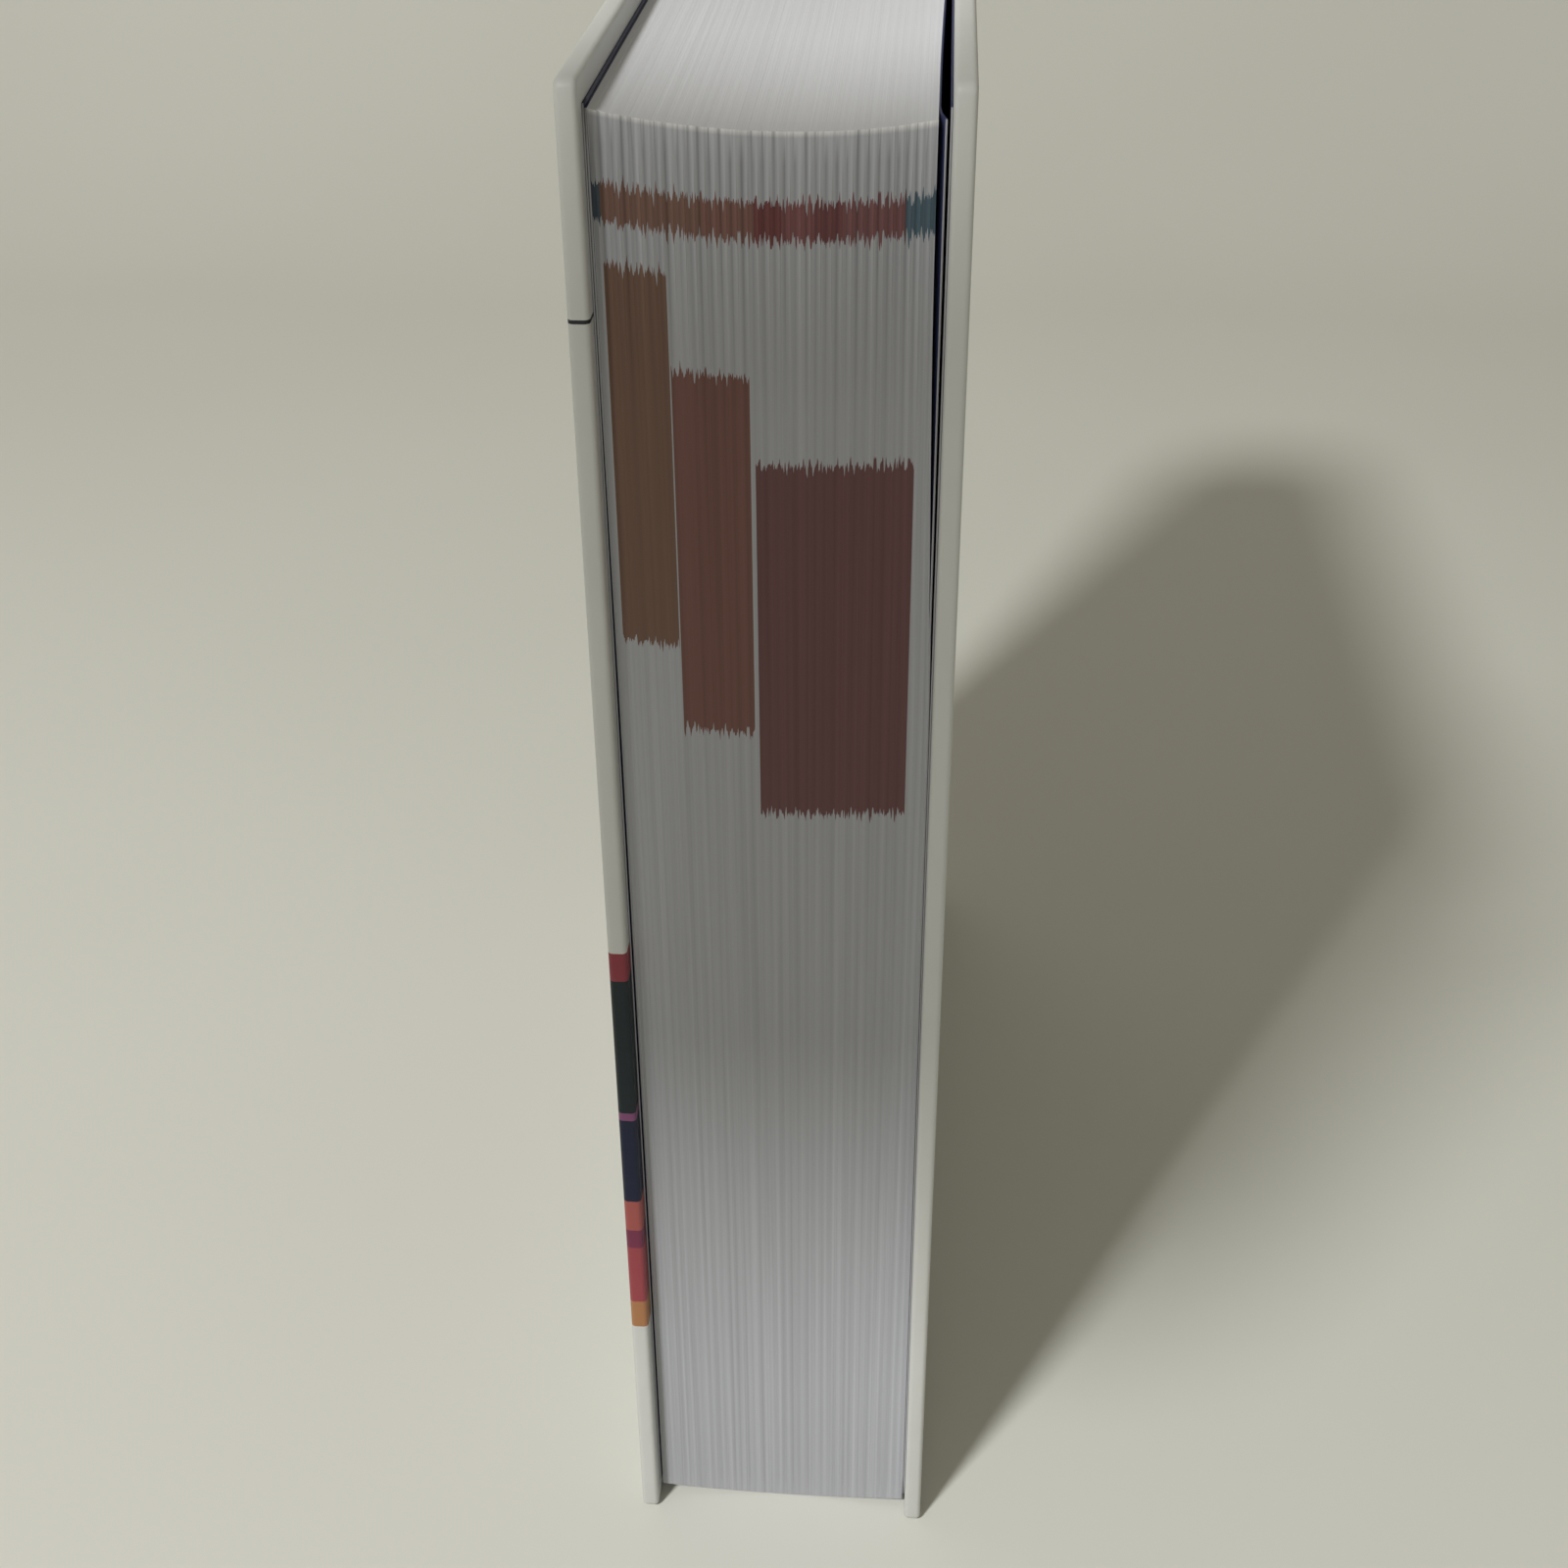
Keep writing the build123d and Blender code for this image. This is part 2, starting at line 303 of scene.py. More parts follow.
class StageSettings(bpy.types.PropertyGroup):
    """Camera and light"""

    place: FloatVectorProperty(
        name="Camera place",
        description="Where the camera stands",
        default=(22.82 * MM, case_low.y - 279.26 * MM, 350.01 * MM),
        subtype="TRANSLATION",
    )
    lens: FloatProperty(name="Lens", description="Focal length on a 36 mm frame", default=48.24, min=10)
    pitch: FloatProperty(
        name="Pitch", description="How far the camera looks down", default=np.radians(32.15), subtype="ANGLE"
    )
    yaw: FloatProperty(
        name="Yaw", description="How far the camera turns right", default=np.radians(-4.29), subtype="ANGLE"
    )
    roll: FloatProperty(
        name="Roll", description="How far the camera tips", default=np.radians(-0.475), subtype="ANGLE"
    )
    key: FloatProperty(name="Key light", description="Watts of the soft key light", default=31.0, min=0)
    fill: FloatProperty(name="Fill light", description="Strength of the even sky", default=0.213, min=0)


def page_column(settings):
    """Places across the block from -1 to 1 with the relief of each section, round backs between
    grooves, and how far each place is into a groove."""
    count = settings.signatures
    per_section = 8
    jitter = 0.16 / count
    edges = np.linspace(-1, 1, count + 1)
    random = np.random.default_rng(7)
    edges[1:-1] += random.uniform(-jitter, jitter, count - 1)
    step = np.linspace(0, 1, per_section, endpoint=False)
    across = (edges[:-1, None] + step * np.diff(edges)[:, None]).ravel()
    groove = -np.abs(2 * step - 1) ** 0.5
    proud = random.uniform(-1, 1, count)
    relief = (groove[None, :] * settings.groove + proud[:, None] * settings.uneven * (step > 0)).ravel()
    depth = np.tile(np.abs(2 * step - 1) ** 1.5, count)
    return np.append(across, 1.0), np.append(relief, 0.0), np.append(depth, 1.0)


def block_half(y):
    """Half thickness of the block at y: the flat sides, then the shoulders' climb."""
    return BLOCK_OUT + np.clip(y - SHOULDER_Y, 0, None)


def side_gap(across, y, z, settings):
    """How far the last pages lie in from the back cover, widest at the head by the fore edge.
    Lower down they lean towards it instead, and the first pages lean to the front cover at the head."""
    near_back = smooth(across, 0.55, 1.0)
    near_front = smooth(-across, 0.3, 1.0)
    near_fore = 1 - smooth(y, FORE_Y + 20 * MM, FORE_Y + 150 * MM)
    near_head = smooth(z, 175 * MM, 262 * MM)
    back = ((settings.gap + settings.press) * near_head - settings.press) * near_back
    return (back + settings.press * near_head * near_front) * near_fore


def page_place(across, y, rise, settings):
    """Point on the block at a share of its half thickness, a depth y and a share of the pages'
    height. The fore edge is hollowed and the spine bulges with the square of the share across."""
    depth = (y - FORE_Y) / (RIDGE_Y - FORE_Y)
    bow = (FORE_HOLLOW * (1 - depth) + SPINE_BULGE * depth) * (1 - across**2)
    x = across * block_half(y)
    z = TAIL_Z + rise * (HEAD_Z - TAIL_Z) - page_sag(x, y)
    return points(x - side_gap(across, y, z, settings), y + bow, z)


# Printed fields on the fore edge, in millimetres: colour, ends across and ends up the page
BAND_COLOURS = ("4F5B68", "84655A", "86625A", "764646", "84585A", "764A4C", "825A5C", "546A78")
BAND_EDGES = (-24.4, -23.0, -9.2, -2.1, 1.8, 6.3, 10.1, 18.8, 22.9)
BAND_HEIGHTS = (258.9, 264.2)
FIELDS = [
    (hex_colour, left, right, *BAND_HEIGHTS)
    for hex_colour, left, right in zip(BAND_COLOURS, BAND_EDGES[:-1], BAND_EDGES[1:])
]
FIELDS += [
    ("7E6255", -23.0, -14.4, 194.1, 253.0),
    ("805C56", -14.2, -3.0, 179.7, 238.9),
    ("745254", -2.3, 20.9, 165.0, 225.5),
]


def ragged(tree, page, x, seed):
    """Height up the page, moved up or down leaf by leaf, because each leaf is trimmed and printed
    a little off its neighbours."""
    tooth_width = 0.5 * MM
    tooth_height = 6.0 * MM
    leaves = add(tree, MATH, {0: x, 1: 1 / tooth_width, 2: seed}, operation="MULTIPLY_ADD")
    column = add(
        tree, NOISE, {"W": leaves, "Scale": 1.0, "Detail": 2.0, "Roughness": 0.65}, noise_dimensions="1D"
    )
    swing = add(
        tree, MATH, {0: column, 1: tooth_height, 2: -tooth_height / 2}, operation="MULTIPLY_ADD"
    )
    return add(tree, MATH, {0: page, 1: swing}, operation="ADD")


def page_material(settings):
    """Text paper, uncoated and guillotined: matt, with fine edge lines and printed thumb tabs."""
    material, tree, shader = new_material("cut_page_edges")
    rest = add(tree, MARK, output="Vector", attribute_name="rest")
    page = add(tree, MARK, output="Fac", attribute_name="page_height")
    fore = add(tree, MARK, output="Fac", attribute_name="fore_edge")
    groove = add(tree, MARK, output="Fac", attribute_name="groove")
    x = add(tree, AXES, {0: rest}, output="X")

    # Leaf lines run along the pages, so the pattern is squeezed across x and stretched along y and z
    leaf_width = 0.32 * MM
    bundle_width = 1.9 * MM
    by_leaf = add(tree, STRETCH, {0: rest, 1: (1 / leaf_width, 6.0, 6.0)}, operation="MULTIPLY")
    leaf = add(tree, NOISE, {"Vector": by_leaf, "Scale": 1.0, "Detail": 3.0, "Roughness": 0.7})
    by_bundle = add(tree, STRETCH, {0: rest, 1: (1 / bundle_width, 9.0, 9.0)}, operation="MULTIPLY")
    bundle = add(tree, NOISE, {"Vector": by_bundle, "Scale": 1.0, "Detail": 2.0})
    both = add(tree, MATH, {0: leaf, 1: bundle}, operation="ADD")
    streak = add(tree, RANGE, {0: both, 1: 0.62, 2: 1.32})

    # The head is cut cleaner than the fore edge, so its streaks are fainter. It is paler than the fore edge,
    # whose greyer colour is partly painted shade.
    strength = add(tree, RANGE, {0: fore, 3: 0.06, 4: 0.2})
    streaks = add(tree, MATH, {0: strength, 1: streak}, operation="MULTIPLY")
    # Painted shade in the grooves between sections on the fore edge, stronger towards the head
    by_head = add(tree, RANGE, {0: page, 1: 232 * MM, 2: 270 * MM, 3: 0.08, 4: 0.36})
    painted_groove_shade = add(tree, MATH, {0: groove, 1: by_head}, operation="MULTIPLY")
    painted_groove_shade = add(tree, MATH, {0: painted_groove_shade, 1: fore}, operation="MULTIPLY")
    dark = add(tree, MATH, {0: painted_groove_shade, 1: streaks}, operation="ADD")
    shade = add(tree, MATH, {0: 1.0, 1: dark}, operation="SUBTRACT")
    # Head paper mixed with the fore edge's greyer colour, which is partly painted shade
    paper_with_edge_shade = add(tree, MIX, {0: fore, 6: tuple(settings.paper), 7: tuple(settings.edge)}, **COLOURS)

    # Painted highlight: the fore edge is paler along a rim just under the head
    top = HEAD_Z - TAIL_Z
    painted_highlight_ramp = add(tree, RANGE, {0: page, 1: top - 0.9 * MM, 2: top, 4: 0.9})
    painted_rim_highlight = add(tree, MATH, {0: painted_highlight_ramp, 1: fore}, operation="MULTIPLY")
    paper = add(tree, MIX, {0: painted_rim_highlight, 6: paper_with_edge_shade, 7: linear("F0F0F0")}, **COLOURS)

    upper = ragged(tree, page, x, 3.1)
    lower = ragged(tree, page, x, 41.7)
    for hex_colour, left, right, low, high in FIELDS:
        across = between(tree, x, left * MM, right * MM)
        over = add(tree, MATH, {0: lower, 1: low * MM}, operation="GREATER_THAN")
        under = add(tree, MATH, {0: upper, 1: high * MM}, operation="LESS_THAN")
        mask = add(tree, MATH, {0: over, 1: under}, operation="MULTIPLY")
        mask = add(tree, MATH, {0: mask, 1: across}, operation="MULTIPLY")
        mask = add(tree, MATH, {0: mask, 1: fore}, operation="MULTIPLY")
        paper = add(tree, MIX, {0: mask, 6: paper, 7: linear(hex_colour)}, **COLOURS)
    shown = add(tree, MIX, {0: 1.0, 6: paper, 7: shade}, blend_type="MULTIPLY", **COLOURS)
    bump = add(tree, BUMP, {"Strength": 0.5, "Distance": 0.12 * MM, "Height": leaf})
    finish_shader(tree, shader, shown, 0.82, bump)
    shader.inputs["IOR"].default_value = 1.45
    return material


class BOOK_OT_pages(bpy.types.Operator):
    """Make the page block with its sections, hollow fore edge, slump and thumb tabs"""

    bl_idname = "book.pages"
    bl_label = "Page block"

    def execute(self, context):
        settings = context.scene.book_pages
        across, relief, in_groove = page_column(settings)
        across = across[:, None]
        lift = relief[:, None]
        rise = np.linspace(0, 1, 60)[None, :]
        flat = FORE_Y + np.linspace(0, 1, 22) ** 1.6 * (SHOULDER_Y - FORE_Y)
        shoulder = np.linspace(SHOULDER_Y, RIDGE_Y, 5)[1:]
        y = np.concatenate([flat, shoulder])[None, :]

        fore = page_place(across, FORE_Y, rise, settings)
        ribs = 1 + 1.8 * smooth(rise, 0.82, 0.96) + 0.15 * np.sin(rise * 9 + across * 14)
        fore[..., 1] -= lift * ribs
        spine = page_place(across, RIDGE_Y, rise[:, ::-1], settings)
        # The ends are cut smoother than the fore edge, and smoother still towards the spine
        ends = 0.35 * lift * (1 - smooth(y, SHOULDER_Y - 20 * MM, SHOULDER_Y))
        head = page_place(across, y, 1.0, settings)
        head[..., 2] += ends
        tail = page_place(across, y[:, ::-1], 0.0, settings)
        tail[..., 2] -= ends[:, ::-1]
        fore[:, -1] = head[:, 0]
        fore[:, 0] = tail[:, -1]
        spine[:, 0] = head[:, -1]
        spine[:, -1] = tail[:, 0]
        grids = [fore, head, spine, tail]
        for row, end in ((0, -1.0), (-1, 1.0)):
            side = page_place(end, y.T, rise, settings)
            side[0] = fore[row]
            side[-1] = spine[row, ::-1]
            side[:, -1] = head[row]
            side[:, 0] = tail[row, ::-1]
            grids.append(side)

        places = np.concatenate([grid.reshape(-1, 3) for grid in grids])
        # How far each fore-edge point lies in a section groove, where the page material paints shade
        groove = np.zeros(len(places))
        groove[: fore.shape[0] * fore.shape[1]] = np.repeat(in_groove, fore.shape[1])
        page_height = places[:, 2] - TAIL_Z + page_sag(places[:, 0], places[:, 1])
        marks = {"page_height": page_height, "groove": groove}
        piece = surface("pages", grids, page_material(settings), sharp=50.0, marks=marks)
        mesh = piece.data
        normals = np.empty(len(mesh.polygons) * 3, np.float32)
        mesh.polygons.foreach_get("normal", normals)
        faces_front = (normals.reshape(-1, 3)[:, 1] < -0.4).astype(np.float32)
        mesh.attributes.new("fore_edge", "FLOAT", "FACE").data.foreach_set("value", faces_front)
        dress(piece, "text_block", "root")
        return {"FINISHED"}


def endpaper_material(settings):
    """Vellum-finish endpaper, printed solid navy: matt, with a faint fibre grain, and pale where
    it is cut."""
    material, tree, shader = new_material("navy_endpaper")
    rest = add(tree, MARK, output="Vector", attribute_name="rest")
    y = add(tree, AXES, {0: rest}, output="Y")
    fibre = add(tree, NOISE, {"Vector": rest, "Scale": 900.0, "Detail": 4.0})
    tone = add(tree, RANGE, {0: fibre, 4: 0.35})
    navy = add(tree, MIX, {0: tone, 6: tuple(settings.endpaper), 7: linear("30365A")}, **COLOURS)
    cut = add(tree, MATH, {0: y, 1: FORE_Y + 0.01 * MM}, operation="LESS_THAN")
    shown = add(tree, MIX, {0: cut, 6: navy, 7: linear("A9AAB0")}, **COLOURS)
    bump = add(tree, BUMP, {"Strength": 0.25, "Distance": 0.05 * MM, "Height": fibre})
    finish_shader(tree, shader, shown, 0.6, bump)
    return material


def shoulder_corner(out):
    """Where a sheet that lies `out` off the block's side starts to climb the 45 degree shoulder."""
    return (BLOCK_OUT + out, SHOULDER_Y - out * np.tan(np.pi / 8))


def shoulder_top(out):
    """Where that sheet meets the curve of the block's spine."""
    x, y = shoulder_corner(out)
    y -= SPINE_CENTRE_Y
    along = (x + y) / np.sqrt(2)
    reach = np.sqrt(along**2 - x * x - y * y + SPINE_RADIUS**2) - along
    return (x + reach / np.sqrt(2), y + SPINE_CENTRE_Y + reach / np.sqrt(2))


class BOOK_OT_endpapers(bpy.types.Operator):
    """Make both flyleaves, both pastedowns and the mull flanges, which reach into the joint"""

    bl_idname = "book.endpapers"
    bl_label = "Endpapers"

    def execute(self, context):
        material = endpaper_material(context.scene.book_cover)
        cloth = cloth_material("mull_cloth", "CFC9B8")
        for name, side in SIDES.items():
            flyleaf(name, side, material, context.scene.book_pages)
            pasted_sheet(name, side, material)
            flange_sheet(name, side, cloth)
        return {"FINISHED"}


def resample(path, count):
    """Points evenly spaced along a polyline of (x, y) corners."""
    path = np.array(path, float)
    run = np.concatenate([[0], np.cumsum(np.linalg.norm(np.diff(path, axis=0), axis=1))])
    steps = np.unique(np.concatenate([np.linspace(0, run[-1], count), run]))
    return np.stack([np.interp(steps, run, path[:, 0]), np.interp(steps, run, path[:, 1])], -1)


def flyleaf(name, side, material, settings):
    """Free leaf: its plan line runs along the block, up the shoulder and folds back to the crease.
    It is carried up the page's height and follows the slump and the gap of the last pages, from
    which its fore edge curls away towards the cover."""
    leaf = ENDPAPER / 2
    stub = paste_low.x - BLOCK_OUT + ENDPAPER / 2
    corners = [
        (BLOCK_OUT + leaf, FORE_Y),
        shoulder_corner(leaf),
        shoulder_top(leaf),
        shoulder_top(stub),
        shoulder_corner(stub),
        (BLOCK_OUT + stub, HINGE_Y + CREASE),
    ]
    plan = resample(corners, 70)
    x = plan[:, :1]
    y = plan[:, 1:]
    z = np.linspace(TAIL_Z, HEAD_Z, 40)[None, :] - page_sag(side * x, y)
    gap = side * side_gap(side, y, z, settings)
    curled = gap * smooth(y, FORE_Y - 1 * MM, FORE_Y + 5 * MM)
    grid = points(side * (x - np.where(gap > 0, curled, gap)), y, z)
    piece = surface(name + "_flyleaf_sheet", [grid], material, thickness=ENDPAPER * 0.96, offset=0.0)
    dress(piece, name + "_flyleaf", "root")


def joint_steps(start_y, count, flat_count):
    """Depths of a sheet's columns: wide over the board, fine where it bends in the joint."""
    bend_y = board_high.y - 1.0 * MM
    return np.concatenate(
        [np.linspace(start_y, bend_y, flat_count)[:-1], np.linspace(bend_y, HINGE_Y + CREASE, count)]
    )


def bend_in_joint(piece):
    """Bakes the sheet's transform into its mesh."""
    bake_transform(piece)


def pasted_sheet(name, side, material):
    """Pastedown: a flat sheet whose middle sinks by the turn-ins' thickness inside a soft step."""
    y = joint_steps(FORE_Y, 36, 60)[:, None]
    z = np.linspace(TAIL_Z, HEAD_Z, 80)[None, :]
    step = 1.2 * MM
    fore_end = case_low.y + TURN_IN
    top = CASE_HEIGHT - TURN_IN
    window = smooth(y, fore_end, fore_end + step) * smooth(-y, -flange_low.y, -flange_low.y + step)
    window = window * smooth(z, TURN_IN, TURN_IN + step) * smooth(-z, -top, -top + step)
    grid = points(side * (paste_low.x + window * PAPER * 0.8), y, z)
    piece = surface(name + "_pastedown_sheet", [grid], material, thickness=ENDPAPER * 0.9)
    face_outward(piece, (side * 1.0, 0, 0))
    dress(piece, name + "_pastedown")
    bend_in_joint(piece)


def flange_sheet(name, side, material):
    """Mull flange under the pastedown: a flat strip of cloth that reaches into the joint."""
    y = joint_steps(flange_low.y, 24, 8)[:, None]
    z = np.linspace(flange_low.z, flange_high.z, 12)[None, :]
    grid = points(side * (flange_low.x + flange_high.x) / 2, y, z)
    piece = surface(name + "_mull_flange_sheet", [grid], material, thickness=PAPER * 0.7, offset=0.0)
    dress(piece, name + "_mull_flange")
    bend_in_joint(piece)


def cloth_material(name, hex_colour):
    """Starched cotton: a plain weave drawn at 1.2 mm, coarser than life so that it shows."""
    material, tree, shader = new_material(name)
    rest = add(tree, MARK, output="Vector", attribute_name="rest")
    turn = 2 * np.pi / (1.2 * MM)
    waves = []
    for axis in "YZ":
        along = add(tree, AXES, {0: rest}, output=axis)
        angle = add(tree, MATH, {0: along, 1: turn}, operation="MULTIPLY")
        waves.append(add(tree, MATH, {0: angle}, operation="SINE"))
    weave = add(tree, MATH, {0: waves[0], 1: waves[1]}, operation="MULTIPLY")
    tone = add(tree, RANGE, {0: weave, 1: -1.0, 2: 1.0})
    thread = linear(hex_colour)
    shown = add(tree, MIX, {0: tone, 6: toned(thread, 0.6), 7: thread}, **COLOURS)
    bump = add(tree, BUMP, {"Strength": 0.5, "Distance": 0.15 * MM, "Height": weave})
    finish_shader(tree, shader, shown, 0.9, bump)
    return material


def printed_material(name, settings, printed):
    """Art paper with a satin laminate: smooth, with a soft sheen, faint orange peel and puckers
    where it is drawn round the boards' edges."""
    material, tree, shader = new_material(name)
    rest = add(tree, MARK, output="Vector", attribute_name="rest")
    y = add(tree, AXES, {0: rest}, output="Y")
    z = add(tree, AXES, {0: rest}, output="Z")
    cloud = add(tree, NOISE, {"Vector": rest, "Scale": 60.0, "Detail": 3.0})
    tone = add(tree, RANGE, {0: cloud, 1: 0.3, 2: 0.7})
    white = tuple(settings.white)
    shown = add(tree, MIX, {0: tone, 6: toned(white, 0.965), 7: white}, **COLOURS)
    if printed:
        half_rule = 0.3 * MM
        rule = between(tree, z, settings.rule_height - half_rule, settings.rule_height + half_rule)
        shown = add(tree, MIX, {0: rule, 6: shown, 7: linear("23242C")}, **COLOURS)
        inside = between(tree, z, settings.band_low, settings.band_high)
        strata = band_strata(tree, settings, rest, y, z)
        shown = add(tree, MIX, {0: inside, 6: shown, 7: strata}, **COLOURS)
    peel = add(tree, NOISE, {"Vector": rest, "Scale": 420.0, "Detail": 2.0})
    bump = add(tree, BUMP, {"Strength": 0.3, "Distance": 0.06 * MM, "Height": peel})
    middle = CASE_HEIGHT / 2
    off_middle = add(tree, MATH, {0: z, 1: middle}, operation="SUBTRACT")
    off_middle = add(tree, MATH, {0: off_middle}, operation="ABSOLUTE")
    by_ends = add(tree, RANGE, {0: off_middle, 1: middle - 3 * MM, 2: middle - 1 * MM})
    by_fore = add(tree, RANGE, {0: y, 1: case_low.y + 3 * MM, 2: case_low.y + 1 * MM})
    by_edge = add(tree, MATH, {0: by_ends, 1: by_fore}, operation="MAXIMUM")
    pucker = add(tree, NOISE, {"Vector": rest, "Scale": 170.0, "Detail": 3.0})
    height = add(tree, MATH, {0: pucker, 1: by_edge}, operation="MULTIPLY")
    bump = add(tree, BUMP, {"Strength": 0.6, "Distance": 0.4 * MM, "Height": height, "Normal": bump})
    finish_shader(tree, shader, shown, 0.42, bump)
    shader.inputs["Specular IOR Level"].default_value = 0.3
    return material


def band_strata(tree, settings, rest, y, z):
    """Soft wavy strata in orange, coral, plum, navy and green-black. Their heights drift with a
    noise, which fades out towards the fore edge."""
    drift_height = 26 * MM
    stretched = add(tree, STRETCH, {0: rest, 1: (1.0, 1.0, 0.35)}, operation="MULTIPLY")
    swell = add(tree, NOISE, {"Vector": stretched, "Scale": 22.0, "Detail": 2.0})
    drift = add(
        tree, MATH, {0: swell, 1: drift_height, 2: -drift_height / 2}, operation="MULTIPLY_ADD"
    )
    away = add(tree, RANGE, {0: y, 1: case_low.y + 2 * MM, 2: case_low.y + 40 * MM, 3: 0.12})
    drifted = add(tree, MATH, {0: drift, 1: away, 2: z}, operation="MULTIPLY_ADD")
    share = add(tree, RANGE, {0: drifted, 1: settings.band_low, 2: settings.band_high})
    lowest = "A8764F"
    strata = (
        (0.07, "98424A"),
        (0.23, "74304C"),
        (0.28, "A25450"),
        (0.36, "0D1534"),
        (0.58, "804A74"),
        (0.6, "0C1D24"),
        (0.93, "8A3440"),
    )
    ramp = tree.nodes.new("ShaderNodeValToRGB")
    ramp.color_ramp.interpolation = "CONSTANT"
    stops = ramp.color_ramp.elements
    stops.remove(stops[1])
    stops[0].color = linear(lowest)
    for position, hex_colour in strata:
        stops.new(position).color = linear(hex_colour)
    tree.links.new(share, ramp.inputs[0])
    return ramp.outputs[0]


def cover_rings(out):
    """Inset from the outline and outward place of each ring, from the turn-in's edge, round the
    rounded edge, to the cover's face at `out`. Works on arrays of `out`."""
    inner = case_low.x
    same = np.ones_like(out)
    quarter = np.linspace(0, np.pi / 2, 6)
    radius = np.minimum(EDGE_ROUND, (out - inner) / 2)
    rings = [(inset * same, inner * same) for inset in (TURN_IN, 9 * MM, 3 * MM)]
    rings += [(radius * (1 - np.sin(turn)), inner + radius * (1 - np.cos(turn))) for turn in quarter]
    rings += [(radius * (1 - np.cos(turn)), out - radius * (1 - np.sin(turn))) for turn in quarter]
    rings += [(inset * same, out) for inset in (1.4 * MM, 3 * MM, 9 * MM, TURN_IN)]
    return rings


def groove_line():
    """Plan line of the cover's outer face from the crease over the groove's floor, up the board's
    edge and round its corner, as (y, out) points."""
    floor = BOARD_OUT + PAPER
    wall_y = board_high.y + PAPER
    foot = 0.5 * MM
    turn = np.linspace(0, np.pi / 2, 7)
    flat = np.linspace(HINGE_Y + CREASE, wall_y + foot, 34)
    level = np.stack([flat, np.full_like(flat, floor)], -1)
    climb = np.stack([wall_y + foot * (1 - np.sin(turn)), floor + foot * (1 - np.cos(turn))], -1)
    over = np.stack(
        [wall_y - EDGE_ROUND * (1 - np.cos(turn)), case_high.x - EDGE_ROUND * (1 - np.sin(turn))], -1
    )
    return np.concatenate([level, climb[1:], over])


def cover_skin(name, side, material):
    """Covering paper of one cover. A profile is carried along the outline of the board, from the
    joint at the tail round the fore edge to the joint at the head, and the face inside is a grid."""
    joint = groove_line()
    far_y = joint[-1, 0]
    lead = np.linspace(0, 1, 26)[1:]
    straight = np.linspace(0, 1, 60)
    bend = np.linspace(0, np.pi / 2, 9)[1:-1]
    outs = np.concatenate([joint[:, 1], np.full(len(lead), case_high.x)])
    rings = []
    for inset, out in cover_rings(outs):
        corner = max(CORNER_ROUND, inset[-1])
        radius = max(CORNER_ROUND - inset[-1], 0.0)
        start_y = case_low.y + corner
        y_run = np.concatenate([joint[:, 0], far_y + lead * (start_y - far_y)])
        edge = np.stack([out, y_run, inset], -1)
        arc = points(out[-1], start_y - radius * np.sin(bend), corner - radius * np.cos(bend))
        up = corner + straight * (CASE_HEIGHT - 2 * corner)
        front = points(out[-1], start_y - radius, up)
        lower = np.concatenate([edge, arc])
        upper = lower[::-1] * [1, 1, -1] + [0, 0, CASE_HEIGHT]
        rings.append(np.concatenate([lower, front, upper]))
    rings = np.array(rings)
    x, y, z = rings[-1, : len(outs)].T
    z_run = np.linspace(z[-1], CASE_HEIGHT - z[-1], len(straight))
    middle = points(x[:, None], y[:, None], z_run[None, :])
    for grid in (rings, middle):
        grid[..., 0] *= side
    sheet = PAPER * 0.9
    piece = surface(name + "_cover_paper", [rings, middle], material, sharp=60.0, thickness=sheet)
    face_outward(piece, (side * (case_low.x + case_high.x) / 2, 0, CASE_HEIGHT / 2))
    dress(piece, name + "_case_paper")
    bend_in_joint(piece)


class BOOK_OT_covers(bpy.types.Operator):
    """Make the covering paper of both covers, turned in round the boards and down into the joints"""

    bl_idname = "book.covers"
    bl_label = "Covers"

    def execute(self, context):
        settings = context.scene.book_cover
        for name, side in SIDES.items():
            material = printed_material(name + "_laminated_paper", settings, side < 0)
            cover_skin(name, side, material)
        return {"FINISHED"}


def rounded(corners, radii, steps=6):
    """Polyline through corners, with each inner corner turned into an arc of its own radius."""
    corners = np.array(corners, float)
    path = [corners[0]]
    for before, here, after, radius in zip(corners[:-2], corners[1:-1], corners[2:], radii):
        to_before = (before - here) / np.linalg.norm(before - here)
        to_after = (after - here) / np.linalg.norm(after - here)
        half = np.arccos(np.clip(to_before @ to_after, -1, 1)) / 2
        reach = radius / np.tan(half)
        centre = here + (to_before + to_after) / np.linalg.norm(to_before + to_after) * radius / np.sin(half)
        start, end = here + to_before * reach - centre, here + to_after * reach - centre
        share = np.linspace(0, 1, steps)[:, None]
        arc = start * (1 - share) + end * share
        arc *= radius / np.linalg.norm(arc, axis=1, keepdims=True)
        path.extend(centre + arc)
    path.append(corners[-1])
    return np.array(path)


def spine_plan():
    """Plan line of the spine paper's outer face, from one crease up the shoulder's slope, round
    the ridge and over the spine to the other crease. Gives its points, the height where the
    ridge's nose starts and the height where the spine's arc does."""
    reach = strip_high.x
    floor = BOARD_OUT + PAPER
    foot = (floor, SHOULDER_Y - (floor - BLOCK_OUT) * np.tan(np.pi / 8))
    nose = (reach, foot[1] + reach - foot[0])
    outer = strip_high.y - SPINE_CENTRE_Y
    ridge_y = SPINE_CENTRE_Y + np.sqrt(outer**2 - reach**2)
    angle = np.arcsin((reach - 1.2 * MM) / outer)
    start = (outer * np.sin(angle), SPINE_CENTRE_Y + outer * np.cos(angle))
    corners = [(floor, HINGE_Y + CREASE), foot, nose, (reach, ridge_y), start]
    half = rounded(corners, [0.5 * MM, 1.05 * MM, 1.05 * MM])
    turn = np.linspace(angle, -angle, 40)[1:-1]
    arc = np.stack([outer * np.sin(turn), SPINE_CENTRE_Y + outer * np.cos(turn)], -1)
    return np.concatenate([half, arc, half[::-1] * [-1, 1]]), nose[1], ridge_y


